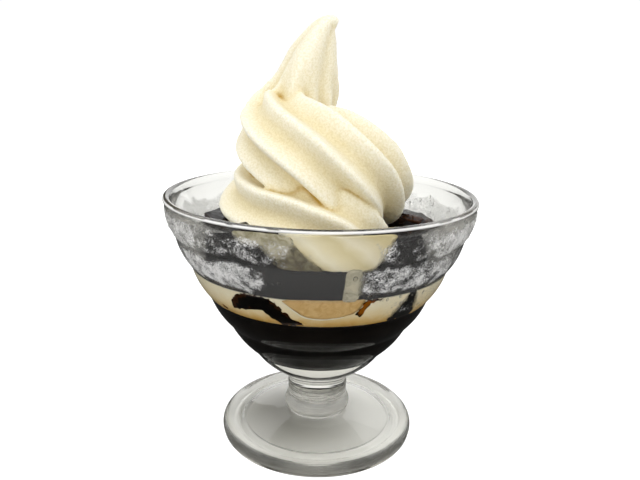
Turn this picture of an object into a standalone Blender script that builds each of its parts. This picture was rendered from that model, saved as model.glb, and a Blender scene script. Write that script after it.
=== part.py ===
"""Coffee jelly in a stepped, footed dessert glass, topped with a swirl of soft-serve.

Metres, +Z up. The origin is the centre of the foot's underside, and the front faces -Y.
"""

import math

import bmesh
import bpy
from mathutils import Euler, Vector, noise

MM = 0.001
OBJECT_NAME = "coffee_jelly"
AIR_GAP = 0.3 * MM            # between pieces that touch on the real thing
MERGE = 0.02 * MM

# The bowl: five pressed steps whose creases lie on one paraboloid.
GLASS_STEPS = 40              # facets round every turned piece
GLASS_HEIGHT = 101.6 * MM
RIM_RADIUS = 60.0 * MM
LIP_THICKNESS = 2.7 * MM
FIRST_CREASE = 14.1 * MM      # rim to first crease
STEP_HEIGHT = 12.2 * MM
STEP_COUNT = 5
STEP_BULGE = 0.95 * MM        # how far each step swells past a straight line
BOWL_FOCUS = 49.6 * MM        # outer paraboloid: radius squared = focus * height over its tip
BOWL_TIP = 24.0 * MM
CAVITY_FOCUS = 45.6 * MM      # the smooth inside of the bowl
CAVITY_TIP = 28.5 * MM
CAVITY_FLOOR = 11.9 * MM      # how much thicker the glass is at the bottom of the cavity
FLOOR_FADE = 7.0 * MM
CAVITY_BOTTOM = CAVITY_TIP + CAVITY_FLOOR
LIP_REACH = 4.0 * MM          # the inside starts to curve into the lip this far below the top
LIP_INSET = 0.3 * MM
BOWL_HEEL = (17.0 * MM, 28.9 * MM)

# The stem and the foot.
NECK = (14.2 * MM, 27.8 * MM)           # flare between the bowl's heel and the stem
STEM_RADIUS = 12.3 * MM
STEM_WAIST = 12.05 * MM
STEM_TOP = 26.4 * MM
STEM_BASE = 16.6 * MM
COLLAR = (9.9 * MM, 12.1 * MM)          # centre of the rolled collar's section
COLLAR_THICKNESS = 3.6 * MM
COLLAR_FOOT = (17.5 * MM, 8.3 * MM)
PLATE_EDGE = (33.4 * MM, 4.6 * MM)
FOOT_RADIUS = 39.7 * MM
BEAD_RADIUS = 2.75 * MM       # rounded edge of the foot
BEAD_HEIGHT = 6.3 * MM
SEAT_OUTER = 37.4 * MM        # flat ring that the glass stands on
SEAT_INNER = 32.0 * MM
PUNT_SLOPE = 3.0 * MM
PUNT_HEIGHT = 1.2 * MM        # hollow under the foot
PUNT_CENTRE = 1.8 * MM

# The levels of the filling.
JELLY_LEVEL = 64.2 * MM
CREAM_LEVEL = 74.6 * MM
HEAP_LEVEL = 84.5 * MM
HEAP_ROUGHNESS = 2.6 * MM
HEAP_GRAIN = 7.0 * MM
HEAP_SHORE = 9.0 * MM         # how far the heap stands back from the glass at the sides
HEAP_SHARES = (0.9, 0.78, 0.64, 0.4, 0.0)
HEAP_BANK = 13.0 * MM         # how much higher the heap leans on the glass in its two banks
HEAP_BANKS = ((-28.0, 17.0), (31.0, 15.0))   # centre and reach of each bank, degrees from the front
SWIRL_SEAT = 79.0 * MM

# The swirl: a rope piped through a star nozzle, drawn out into a peak.
SWIRL_LOBES = 9
LOBE_DEPTH = 0.30
LOBE_CREST = 1.25             # over 1 makes the ridges narrow and the hollows wide
LOBE_LEAN = 0.15
LOBE_MIDDLE = 0.42
PEAK_SHARE = 0.05             # how much of the nozzle's ridges is left on the peak
PEAK_FROM = 7.0 * MM          # rope radius up to which it counts as peak
PEAK_TO = 15.0 * MM
PEAK_RIDGES = 3
PEAK_RIDGE = 0.12
PEAK_TURN = math.radians(12)
BEND_REACH = 0.92             # the inside of a bend reaches this far towards its centre
BEND_SPAN = 2
# centre x, y, z and radius of the rope in mm, and the turn of its ridges in degrees, tip first
SWIRL_STATIONS = (
    (4.8, 0, 162.9, 1.5, 14), (2.6, 0, 163.7, 2.7, 14), (-0.4, 0, 160.6, 4.9, 14),
    (-4.0, 0.5, 152.5, 8.3, 14), (-6.0, 2, 146.0, 10.3, 14), (-7.8, 5, 138.5, 12.4, 12),
    (-11.0, 7, 131.5, 13.6, 8), (-14.4, 2.5, 125.5, 14.6, 7), (-12.5, -8, 121.0, 16.4, 7),
    (-1.0, -14.5, 116.0, 17.6, 22), (10.0, -12.5, 110.5, 17.4, 50), (16.5, -1, 105.0, 16.2, 92),
    (13.5, 13, 101.5, 15.8, 128), (0.0, 18.5, 99.5, 16.2, 158), (-13.0, 13.5, 97.5, 16.8, 186),
    (-19.5, 0, 95.5, 16.8, 212), (-15.0, -13, 94.0, 16.8, 216), (-4.0, -21.5, 92.0, 16.8, 214),
    (5.0, -22, 88.5, 16.6, 218), (11.5, -19, 82.0, 15.0, 226), (15.0, -15, 74.0, 12.0, 232))
SWIRL_RINGS = 170
SWIRL_SIDES = 108
SWIRL_VOXEL = 1.1 * MM
SWIRL_KEEP = 0.040            # share of the voxel mesh's triangles that is kept

# The plain cone inside the coils, and the block that trims the swirl at its seat.
CORE_SHIFT = -3.0 * MM
CORE_RADII = (26.0 * MM, 7.0 * MM)
CORE_TOP = 131.0 * MM
CORE_BELOW = 3.0 * MM         # how far it starts below the seat
TRIM_SIZE = (120 * MM, 120 * MM, 60 * MM)

# Jelly pieces: size, centre, tumble in degrees, and how rounded their edges are.
JELLY_PIECES = {
    "jelly_cube_left": ((9.5, 10, 11), (-38.5, 1, 85.8), (12, -9, 36), 0.6),
    "jelly_lump_right": ((16, 12, 11), (34.5, 3, 86.6), (-8, 10, -24), 2.2),
}


def clear_scene():
    for thing in list(bpy.data.objects):
        bpy.data.objects.remove(thing, do_unlink=True)


def collection(name):
    group = bpy.data.collections.new(name)
    bpy.context.scene.collection.children.link(group)
    return group


def finish(name, colour, roughness, transmission=0.0):
    surface = bpy.data.materials.new(name)
    surface.use_nodes = True
    shader = surface.node_tree.nodes["Principled BSDF"]
    shader.inputs["Base Color"].default_value = (*colour, 1.0)
    shader.inputs["Roughness"].default_value = roughness
    shader.inputs["Transmission Weight"].default_value = transmission
    surface.diffuse_color = (*colour, 1.0)
    return surface


def add_object(name, mesh, group, surface=None):
    thing = bpy.data.objects.new(name, mesh)
    group.objects.link(thing)
    if surface:
        mesh.materials.append(surface)
    return thing


def arc(centre, radius, first, last, count):
    """Points on an arc in the profile plane, angles in degrees."""
    turns = [math.radians(first + (last - first) * i / count) for i in range(count + 1)]
    return [(centre[0] + radius * math.cos(t), centre[1] + radius * math.sin(t)) for t in turns]


def swell(start, end, bulge, count):
    """Points from start to end, bowed outward by bulge; the end point is left out."""
    along = Vector(end) - Vector(start)
    out = Vector((-along.y, along.x)).normalized()
    if out.x < 0:
        out.negate()
    points = []
    for i in range(count):
        t = i / count
        points.append(tuple(Vector(start) + along * t + out * bulge * 4 * t * (1 - t)))
    return points


def bowl_radius(height):
    return math.sqrt(BOWL_FOCUS * (height - BOWL_TIP))


def cavity_radius(height):
    lift = CAVITY_FLOOR * math.exp((CAVITY_BOTTOM - height) / FLOOR_FADE)
    return math.sqrt(max(0.0, CAVITY_FOCUS * (height - CAVITY_TIP - lift)))


def cavity_profile(top, count, gap=0.0):
    """The cavity's wall from its lowest point up to a height, set in by a gap."""
    low = CAVITY_BOTTOM + gap
    points = []
    for i in range(count + 1):
        height = low + (top - low) * (i / count) ** 2   # closer together where it curves most
        points.append((max(0.0, cavity_radius(height - gap) - gap * min(1, i)), height))
    return points


def glass_profile():
    """From the cavity's lowest point, up and over the lip, down the steps to the foot."""
    lip = LIP_THICKNESS / 2
    lip_centre = (RIM_RADIUS - lip, GLASS_HEIGHT - lip)
    points = cavity_profile(GLASS_HEIGHT - LIP_REACH, 11)
    points += arc(lip_centre, lip, 180, 0, 6)

    creases = [GLASS_HEIGHT - FIRST_CREASE - STEP_HEIGHT * i for i in range(STEP_COUNT)]
    corners = [(RIM_RADIUS - LIP_INSET, GLASS_HEIGHT - 3 * lip)]
    corners += [(bowl_radius(z), z) for z in creases] + [BOWL_HEEL]
    for start, end in zip(corners, corners[1:]):
        points += swell(start, end, STEP_BULGE, 4)
    points += [BOWL_HEEL, NECK, (STEM_RADIUS, STEM_TOP)]

    # a straight stem down to a rolled collar that flares onto the foot
    points += [(STEM_WAIST, (STEM_TOP + STEM_BASE) / 2), (STEM_RADIUS, STEM_BASE)]
    points += arc(COLLAR, COLLAR_THICKNESS, 50, -52, 5)
    points += [COLLAR_FOOT, PLATE_EDGE]

    # the bead round the foot, the flat ring under it, and the hollow inside that
    bead = (FOOT_RADIUS - BEAD_RADIUS, BEAD_HEIGHT - BEAD_RADIUS)
    points += arc(bead, BEAD_RADIUS, 140, -50, 8)
    points += [(SEAT_OUTER, 0.0), (SEAT_INNER, 0.0)]
    points += [(SEAT_INNER - PUNT_SLOPE, PUNT_HEIGHT), (0.0, PUNT_CENTRE)]
    return points


def turned(name, profile, group, surface):
    """A profile of (radius, height) points spun about the Z axis."""
    mesh = bpy.data.meshes.new(name)
    places = [(radius, 0.0, height) for radius, height in profile]
    mesh.from_pydata(places, [(i, i + 1) for i in range(len(places) - 1)], [])
    thing = add_object(name, mesh, group, surface)
    screw = thing.modifiers.new("Turn", "SCREW")
    screw.steps = GLASS_STEPS
    screw.render_steps = GLASS_STEPS
    screw.use_merge_vertices = True
    screw.merge_threshold = MERGE
    screw.use_normal_calculate = False
    screw.use_smooth_shade = True
    return thing


def settled(thing):
    """Swaps an object's modifiers for the mesh they make."""
    seen = thing.evaluated_get(bpy.context.evaluated_depsgraph_get())
    mesh = bpy.data.meshes.new_from_object(seen)
    old = thing.data
    thing.modifiers.clear()
    thing.data = mesh
    bpy.data.meshes.remove(old)
    mesh.name = thing.name
    return thing


def subtract(thing, cutter, solver="EXACT"):
    cut = thing.modifiers.new("Clear of " + cutter.name, "BOOLEAN")
    cut.operation = "DIFFERENCE"
    cut.solver = solver
    cut.object = cutter


def hide_cutter(thing):
    thing.hide_render = True
    thing.display_type = "WIRE"
    return thing


def make_glass(group):
    glass = turned("glass", glass_profile(), group, finish("Pressed glass", (0.9, 0.92, 0.9), 0.03, 1.0))
    glass.data.name = "glass"
    return glass


def fill_profile(bottom, top, count):
    """A layer of filling between two levels, from its lowest point on the axis to its top."""
    wall = cavity_profile(top, count, AIR_GAP)
    if bottom is not None:
        wall = [(0.0, bottom), (cavity_radius(bottom - AIR_GAP) - AIR_GAP, bottom)]
        wall.append((cavity_radius(top - AIR_GAP) - AIR_GAP, top))
    return wall + [(0.0, top)]


def reversed_profile(points):
    return [points[i] for i in range(len(points) - 1, -1, -1)]


def make_jelly_base(group, surface):
    profile = fill_profile(None, JELLY_LEVEL, 7)
    return turned("jelly_base", reversed_profile(profile), group, surface)


def make_cream_layer(group):
    profile = fill_profile(JELLY_LEVEL + AIR_GAP, CREAM_LEVEL, 1)
    cream = finish("Fresh cream", (0.80, 0.70, 0.52), 0.35)
    return turned("cream_layer", reversed_profile(profile), group, cream)


def bank(angle):
    """How fully the heap leans on the glass, from 0 to 1, by angle from the front."""
    degrees = math.degrees(angle)
    return max(min(1.0, 2 * max(0.0, 1 - abs(degrees - centre) / reach)) for centre, reach in HEAP_BANKS)


def heap_pull(angle, share):
    """How far the heap stands in from the glass, by angle from the front and share of its radius."""
    side = math.sin(angle) ** 2 * (0.75 + 0.25 * math.cos(3 * angle + 0.6))
    return HEAP_SHORE * side * share ** 2 * (1 - bank(angle))


def make_jelly_heap(group, surface):
    """The jelly cubes heaped on the cream, as one uneven solid."""
    bottom = CREAM_LEVEL + AIR_GAP
    shelf = [bottom + (HEAP_LEVEL - bottom) * t for t in (0.0, 0.5, 1.0)]
    profile = [(0.0, bottom)] + [(cavity_radius(z - AIR_GAP) - 2 * AIR_GAP, z) for z in shelf]
    top_radius = profile[-1][0]
    profile += [(top_radius * share, HEAP_LEVEL) for share in HEAP_SHARES]
    heap = settled(turned("jelly_heap", reversed_profile(profile), group, surface))
    for vertex in heap.data.vertices:
        spot = vertex.co
        angle = math.atan2(spot.x, -spot.y)
        radius = math.hypot(spot.x, spot.y)
        share = radius / top_radius
        reach = radius - heap_pull(angle, share)
        if spot.z > HEAP_LEVEL - MERGE:
            rough = noise.noise(Vector((spot.x, spot.y, 0)) / HEAP_GRAIN)
            spot.z += HEAP_ROUGHNESS * rough + HEAP_BANK * bank(angle) * share ** 4
            if share > 1 - MERGE:
                reach += cavity_radius(spot.z - AIR_GAP) - cavity_radius(HEAP_LEVEL - AIR_GAP)
        if radius > 0:
            spot.x *= reach / radius
            spot.y *= reach / radius
    return heap


def rope_path(count):
    """A smooth curve through the stations: centre, radius and turn at even steps."""
    last = len(SWIRL_STATIONS) - 1
    path = []
    for i in range(count + 1):
        place = last * i / count
        k = min(int(place), last - 1)
        t = place - k
        weights = (-0.5 * t + t * t - 0.5 * t ** 3, 1 - 2.5 * t * t + 1.5 * t ** 3,
                   0.5 * t + 2 * t * t - 1.5 * t ** 3, -0.5 * t * t + 0.5 * t ** 3)
        near = [SWIRL_STATIONS[min(max(k + step, 0), last)] for step in (-1, 0, 1, 2)]
        x, y, z, radius, turn = [sum(n[part] * w for n, w in zip(near, weights)) for part in range(5)]
        path.append((Vector((x, y, z)) * MM, radius * MM, math.radians(turn)))
    return path


def star(angle, turn, radius):
    """The rope's outline: the nozzle's ridges, which fade into three soft ones on the peak."""
    phase = SWIRL_LOBES * (angle - turn)
    wave = (0.5 + 0.5 * math.cos(phase + LOBE_LEAN * math.sin(phase))) ** LOBE_CREST
    t = min(1.0, max(0.0, (radius - PEAK_FROM) / (PEAK_TO - PEAK_FROM)))
    rope = t * t * (3 - 2 * t)
    depth = LOBE_DEPTH * (PEAK_SHARE + (1 - PEAK_SHARE) * rope)
    ridge = PEAK_RIDGE * math.cos(PEAK_RIDGES * (angle - PEAK_TURN)) * (1 - rope)
    return 1 + depth * (wave - LOBE_MIDDLE) + ridge


def make_rope_mesh(name):
    """The star-shaped rope swept along its path, held back on the inside of its bends."""
    path = rope_path(SWIRL_RINGS)
    last = SWIRL_RINGS
    centres = [centre for centre, radius, turn in path]
    along = [(centres[min(i + 1, last)] - centres[max(i - 1, 0)]).normalized() for i in range(last + 1)]
    shape = bmesh.new()
    rings = []
    side = Vector((0, -1, 0))
    for i, (centre, radius, turn) in enumerate(path):
        side = (side - along[i] * side.dot(along[i])).normalized()
        up = along[i].cross(side)
        before, after = max(i - BEND_SPAN, 0), min(i + BEND_SPAN, last)
        bend = (along[after] - along[before]) / (centres[after] - centres[before]).length
        inward = bend.normalized()
        room = BEND_REACH / max(bend.length, 1e-6)
        ring = []
        for j in range(SWIRL_SIDES):
            angle = 2 * math.pi * j / SWIRL_SIDES
            spot = (side * math.cos(angle) + up * math.sin(angle)) * radius * star(angle, turn, radius)
            spot -= inward * max(0.0, spot.dot(inward) - room)
            ring.append(shape.verts.new(centre + spot))
        rings.append(ring)
    for above, below in zip(rings, rings[1:]):
        for j in range(SWIRL_SIDES):
            k = (j + 1) % SWIRL_SIDES
            shape.faces.new((above[j], above[k], below[k], below[j]))
    shape.faces.new(reversed(rings[0]))
    shape.faces.new(rings[-1])
    bmesh.ops.recalc_face_normals(shape, faces=shape.faces)
    mesh = bpy.data.meshes.new(name)
    shape.to_mesh(mesh)
    shape.free()
    return mesh


def make_core_mesh():
    """A plain cone inside the coils, so that no hollow is left between them."""
    shape = bmesh.new()
    low = SWIRL_SEAT - CORE_BELOW
    bmesh.ops.create_cone(shape, cap_ends=True, segments=24, radius1=CORE_RADII[0], radius2=CORE_RADII[1],
                          depth=CORE_TOP - low)
    bmesh.ops.translate(shape, verts=shape.verts, vec=(CORE_SHIFT, 0, (low + CORE_TOP) / 2))
    mesh = bpy.data.meshes.new("core")
    shape.to_mesh(mesh)
    shape.free()
    return mesh


def make_soft_serve(group, cutters):
    mesh = make_rope_mesh("soft_serve")
    core = make_core_mesh()
    shape = bmesh.new()
    shape.from_mesh(mesh)
    shape.from_mesh(core)
    shape.to_mesh(mesh)
    shape.free()
    bpy.data.meshes.remove(core)
    swirl = add_object("soft_serve", mesh, group, finish("Soft-serve", (0.86, 0.78, 0.58), 0.6))

    merge = swirl.modifiers.new("Unite", "REMESH")
    merge.mode = "VOXEL"
    merge.voxel_size = SWIRL_VOXEL
    merge.use_smooth_shade = True
    thin = swirl.modifiers.new("Thin out", "DECIMATE")
    thin.ratio = SWIRL_KEEP
    settled(swirl)

    bpy.ops.mesh.primitive_cube_add(size=1)
    below = bpy.context.object
    below.name = "cut_below_swirl"
    below.scale = TRIM_SIZE
    below.location = (0, 0, SWIRL_SEAT - TRIM_SIZE[2] / 2)
    move_to(below, cutters)
    hide_cutter(below)
    bpy.context.view_layer.update()
    subtract(swirl, below)
    settled(swirl)
    swirl.data.shade_smooth()
    return swirl


def move_to(thing, group):
    for owner in list(thing.users_collection):
        owner.objects.unlink(thing)
    group.objects.link(thing)


def swollen(thing, gap, cutters):
    """A copy of a piece grown by a gap, for cutting its neighbours."""
    seen = thing.evaluated_get(bpy.context.evaluated_depsgraph_get())
    mesh = bpy.data.meshes.new_from_object(seen)
    moves = [vertex.normal * gap for vertex in mesh.vertices]
    for vertex, move in zip(mesh.vertices, moves):
        vertex.co += move
    mesh.transform(thing.matrix_world)
    cutter = add_object("cut_" + thing.name, mesh, cutters)
    return hide_cutter(cutter)


def make_jelly_piece(name, size, centre, tumble, rounding, group, surface):
    bpy.ops.mesh.primitive_cube_add(size=1)
    piece = bpy.context.object
    piece.name = name
    piece.data.name = name
    move_to(piece, group)
    for vertex in piece.data.vertices:
        vertex.co = Vector([c * s * MM for c, s in zip(vertex.co, size)])
    piece.location = Vector(centre) * MM
    piece.rotation_euler = Euler([math.radians(t) for t in tumble])
    piece.data.materials.append(surface)
    bevel = piece.modifiers.new("Soft edges", "BEVEL")
    bevel.width = rounding * MM
    bevel.segments = 2
    bpy.context.view_layer.update()
    return piece


def main():
    clear_scene()
    group = collection(OBJECT_NAME)
    cutters = collection("cutters")
    jelly = finish("Coffee jelly", (0.012, 0.006, 0.004), 0.08)

    make_glass(group)
    make_jelly_base(group, jelly)
    make_cream_layer(group)
    swirl = make_soft_serve(group, cutters)
    swirl_cutter = swollen(swirl, 1.3 * AIR_GAP, cutters)

    heap = make_jelly_heap(group, jelly.copy())
    subtract(heap, swirl_cutter, "MANIFOLD")   # its creases fold into themselves
    for name, (size, centre, tumble, rounding) in JELLY_PIECES.items():
        piece = make_jelly_piece(name, size, centre, tumble, rounding, group, jelly.copy())
        subtract(heap, swollen(piece, 1.3 * AIR_GAP, cutters))
        subtract(piece, swirl_cutter, "MANIFOLD")


main()
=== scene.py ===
import math
import random
from contextlib import contextmanager

import bmesh
import bpy
from mathutils import Euler, Matrix, Vector, noise


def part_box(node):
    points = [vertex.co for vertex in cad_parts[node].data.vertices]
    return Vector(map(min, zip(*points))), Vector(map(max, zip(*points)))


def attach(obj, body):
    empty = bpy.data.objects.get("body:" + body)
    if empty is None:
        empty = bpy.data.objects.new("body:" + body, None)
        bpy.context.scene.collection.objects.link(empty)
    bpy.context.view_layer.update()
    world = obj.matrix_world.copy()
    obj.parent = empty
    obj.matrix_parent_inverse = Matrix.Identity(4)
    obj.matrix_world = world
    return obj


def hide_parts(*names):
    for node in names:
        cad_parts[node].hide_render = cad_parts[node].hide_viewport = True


# Coffee jelly and cream in a footed, stepped dessert glass, with a swirl of soft-serve on top.
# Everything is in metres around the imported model; +Z is up and the front faces -Y.

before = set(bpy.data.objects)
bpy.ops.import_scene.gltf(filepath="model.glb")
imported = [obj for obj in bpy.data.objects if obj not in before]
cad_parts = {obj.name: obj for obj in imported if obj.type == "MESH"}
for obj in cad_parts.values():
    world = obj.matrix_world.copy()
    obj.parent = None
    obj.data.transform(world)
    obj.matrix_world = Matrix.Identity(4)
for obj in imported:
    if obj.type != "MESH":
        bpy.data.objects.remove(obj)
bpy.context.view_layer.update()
mm = 0.001
noise.seed_set(5)                    # vector noise is seeded by the clock unless it is set

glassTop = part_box("glass")[1].z
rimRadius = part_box("glass")[1].x
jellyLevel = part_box("jelly_base")[1].z
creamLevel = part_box("cream_layer")[1].z
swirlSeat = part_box("soft_serve")[0].z


# Small helpers

def linearColour(hexCode):
    parts = [int(hexCode[i:i + 2], 16) / 255 for i in (1, 3, 5)]
    return (*[p / 12.92 if p <= 0.04045 else ((p + 0.055) / 1.055) ** 2.4 for p in parts], 1.0)


def setNode(node, settings, links=None):
    # settings: properties of the node or constants for its sockets, with colours in hex
    # links: for a socket, the output that feeds it, or a node whose first output does
    for name, value in (settings or {}).items():
        if isinstance(value, str) and value.startswith("#"):
            value = linearColour(value)
        if name == "stops":                      # colour ramp: place and hex colour of each stop
            ramp = node.color_ramp
            while len(ramp.elements) < len(value):
                ramp.elements.new(0.5)
            for element, (place, hexCode) in zip(ramp.elements, value):
                element.position = place
                element.color = linearColour(hexCode)
        elif isinstance(name, str) and hasattr(node, name):
            setattr(node, name, value)
        else:
            node.inputs[name].default_value = value
    for socket, source in (links or {}).items():
        if isinstance(source, bpy.types.Node):
            source = source.outputs[0]
        node.id_data.links.new(source, node.inputs[socket])


def addNode(tree, kind, settings=None, links=None):
    node = tree.nodes.new("ShaderNode" + kind)
    setNode(node, settings, links)
    return node


def startMaterial(name, settings):
    surface = bpy.data.materials.new(name)
    surface.use_nodes = True
    tree = surface.node_tree
    shader = tree.nodes["Principled BSDF"]
    setNode(shader, settings)
    place = addNode(tree, "TexCoord").outputs["Object"]
    return surface, tree, shader, place


def addObject(name, data):
    thing = bpy.data.objects.new(name, data)
    bpy.context.scene.collection.objects.link(thing)
    return thing


def addPiece(name, mesh, surface, slotName, *nodes):
    mesh.materials.append(surface)
    mesh.name = name
    piece = addObject(name, mesh)
    mesh.shade_smooth()
    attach(piece, "root")
    if nodes:
        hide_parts(*nodes)
    return piece


@contextmanager
def editing(mesh):
    # the mesh as a bmesh, which is written back to it at the end
    shape = bmesh.new()
    shape.from_mesh(mesh)
    yield shape
    shape.to_mesh(mesh)
    shape.free()


def meshFrom(places, faces):
    mesh = bpy.data.meshes.new("piece")
    mesh.from_pydata([tuple(p) for p in places], [], faces)
    with editing(mesh) as shape:
        bmesh.ops.recalc_face_normals(shape, faces=shape.faces)
    return mesh


def fan(tip, ring):
    # faces from one point to a ring of points, all by their numbers
    return [(tip, ring[i - 1], ring[i]) for i in range(len(ring))]


def band(inner, outer):
    # faces between two rings
    return [(inner[i - 1], outer[i - 1], outer[i], inner[i]) for i in range(len(inner))]


def writeAttribute(mesh, name, values):
    layer = mesh.attributes.new(name, "FLOAT", "POINT")
    layer.data.foreach_set("value", values)


def smoothStep(low, high, value):
    t = min(1.0, max(0.0, (value - low) / (high - low)))
    return t * t * (3 - 2 * t)


def inside(value, low, high, soft):
    return smoothStep(low - soft, low + soft, value) * (1 - smoothStep(high - soft, high + soft, value))


# degrees round the glass, 0 at the front and 90 at +X
def angleOf(spot):
    return math.degrees(math.atan2(spot[0], -spot[1]))


def onRing(degrees, radius, height):
    turn = math.radians(degrees)
    return Vector((radius * math.sin(turn), -radius * math.cos(turn), height))


# The glass

bowl = {
    "segments": 288,
    "lipThickness": 2.7 * mm,
    "lipNeck": (0.8 * mm, 3.1 * mm),     # how far in and down from the rim the lip's bead ends
    "wallInset": 0.5 * mm,           # the wall under the bead stands this far in from the rim
    "insideStop": 4.0 * mm,          # the inside meets the lip this far down
    "insideSteps": 40,
    "arcSteps": 14,
    "firstCrease": 14.1 * mm,        # rim to first crease
    "stepHeight": 12.2 * mm,
    "stepCount": 5,
    "stepBulge": 0.95 * mm,
    "focus": 49.6 * mm,              # outer paraboloid: radius squared = focus * height over its tip
    "tip": 24.0 * mm,
    "cavityFocus": 45.6 * mm,
    "cavityTip": 28.5 * mm,
    "cavityFloor": 11.9 * mm,        # the glass is this much thicker at the bottom of the cavity
    "floorFade": 7.0 * mm,
    "heel": (17.0 * mm, 28.9 * mm),
    "waver": 0.07 * mm,              # unevenness that pressing leaves
    "waverScale": 9 * mm,
}
foot = {
    "neck": (14.2 * mm, 27.8 * mm),
    "stemRadius": 12.3 * mm,
    "stemTop": 27.6 * mm,
    "stemShoulder": 1.2 * mm,        # the stem is straight from this far under its top
    "stemWaist": 0.25 * mm,
    "stemBase": 16.6 * mm,
    "ringHeights": (20.4 * mm, 18.9 * mm, 17.6 * mm),   # fine rings low on the stem
    "ringDepth": 0.38 * mm,
    "ringRise": 0.45 * mm,
    "collar": (9.9 * mm, 12.1 * mm),     # centre of the collar's round, radius from the axis and height
    "collarRound": 3.6 * mm,
    "collarArc": (78, -52),              # degrees
    "collarFoot": (17.5 * mm, 8.3 * mm),
    "plateEdge": (33.4 * mm, 4.6 * mm),
    # a fine raised ring: how far in from the plate's edge, and how far up
    "plateRing": ((3.2 * mm, 0.75 * mm), (2.7 * mm, 0.35 * mm), (2.0 * mm, 0.5 * mm)),
    "radius": 39.7 * mm,
    "bead": 2.75 * mm,
    "beadHeight": 6.3 * mm,
    "beadArc": (140, -10),
    "arcSteps": 12,
    "edgeFoot": (39.2 * mm, 1.0 * mm),
    "seatOuter": 37.4 * mm,
    "seatInner": 32.0 * mm,
    "puntEdge": 29.0 * mm,
    "punt": 1.2 * mm,                # the under side is hollow by this much
    "puntMiddle": 1.8 * mm,
    "mattBelow": 2.2 * mm,           # the hollow is matt from the mould
    "rounding": 0.5 * mm,
    "roundingSteps": 4,
}


cavityBottom = bowl["cavityTip"] + bowl["cavityFloor"]


def bowlRadius(height):
    return math.sqrt(bowl["focus"] * (height - bowl["tip"]))


def cavityRadius(height):
    lift = bowl["cavityFloor"] * math.exp((cavityBottom - height) / bowl["floorFade"])
    return math.sqrt(max(0.0, bowl["cavityFocus"] * (height - bowl["cavityTip"] - lift)))


def arcPoints(centre, radius, first, last, count):
    turns = [math.radians(first + (last - first) * i / count) for i in range(count + 1)]
    return [(centre[0] + radius * math.cos(t), centre[1] + radius * math.sin(t)) for t in turns]


def bowedLine(start, end, bulge, count):
    # a line that bulges outward, without its last point
    along = Vector(end) - Vector(start)
    out = Vector((-along.y, along.x)).normalized()
    if out.x < 0:
        out.negate()
    places = []
    for i in range(count):
        t = i / count
        places.append(tuple(Vector(start) + along * t + out * bulge * 4 * t * (1 - t)))
    return places


def roundCorners(points, reach, count):
    # each inner corner becomes a short curve that starts and ends `reach` from it
    rounded = [points[0]]
    for before, corner, after in zip(points, points[1:], points[2:]):
        a, b, c = Vector(before), Vector(corner), Vector(after)
        start = b + (a - b) * min(0.5, reach / max((a - b).length, 1e-9))
        end = b + (c - b) * min(0.5, reach / max((c - b).length, 1e-9))
        for i in range(count + 1):
            t = i / count
            rounded.append(tuple(start * (1 - t) ** 2 + b * 2 * t * (1 - t) + end * t * t))
    return rounded + [points[-1]]


def glassProfile():
    lip = bowl["lipThickness"] / 2
    insideTop = glassTop - bowl["insideStop"]
    points = []
    for i in range(bowl["insideSteps"] + 1):     # the smooth inside, up to the lip
        height = cavityBottom + (insideTop - cavityBottom) * (i / bowl["insideSteps"]) ** 2
        points.append((cavityRadius(height), height))
    points += arcPoints((rimRadius - lip, glassTop - lip), lip, 180, 0, bowl["arcSteps"])
    points.append((rimRadius - bowl["lipNeck"][0], glassTop - bowl["lipNeck"][1]))
    creases = [glassTop - bowl["firstCrease"] - bowl["stepHeight"] * i for i in range(bowl["stepCount"])]
    corners = [(rimRadius - bowl["wallInset"], glassTop - 3 * lip)]
    corners += [(bowlRadius(z), z) for z in creases] + [bowl["heel"]]
    for start, end in zip(corners, corners[1:]):
        points += bowedLine(start, end, bowl["stepBulge"], bowl["arcSteps"])

    # heel, stem, collar, plate and under side
    stem, edge, bead = foot["stemRadius"], foot["plateEdge"], foot["bead"]
    low = [bowl["heel"], foot["neck"], (stem, foot["stemTop"] - foot["stemShoulder"])]
    low.append((stem - foot["stemWaist"], (foot["stemTop"] + foot["stemBase"]) / 2))
    for height in foot["ringHeights"]:
        low.append((stem, height + foot["ringRise"]))
        low.append((stem - foot["ringDepth"], height))
    low.append((stem, foot["stemBase"]))
    low += arcPoints(foot["collar"], foot["collarRound"], *foot["collarArc"], foot["arcSteps"])
    low.append(foot["collarFoot"])
    low += [(edge[0] - inward, edge[1] + up) for inward, up in foot["plateRing"]] + [edge]
    low += arcPoints((foot["radius"] - bead, foot["beadHeight"] - bead), bead, *foot["beadArc"],
                     foot["arcSteps"])
    low += [foot["edgeFoot"], (foot["seatOuter"], 0.0), (foot["seatInner"], 0.0)]
    low += [(foot["puntEdge"], foot["punt"]), (0.0, foot["puntMiddle"])]
    return points + roundCorners(low, foot["rounding"], foot["roundingSteps"])


def turnedMesh(profile, segments, shift=None):
    # the first and last points of the profile are on the axis; shift moves the others outward
    places = [Vector((0, 0, profile[0][1]))]
    rings = []
    for radius, height in profile[1:-1]:
        ring = []
        for i in range(segments):
            degrees = 360 * i / segments
            reach = radius + (shift(degrees, radius, height) if shift else 0.0)
            ring.append(len(places))
            places.append(onRing(degrees, reach, height))
        rings.append(ring)
    places.append(Vector((0, 0, profile[-1][1])))
    faces = fan(0, rings[0]) + fan(len(places) - 1, rings[-1][::-1])
    for lower, upper in zip(rings, rings[1:]):
        faces += band(lower, upper)
    return meshFrom(places, faces)


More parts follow.
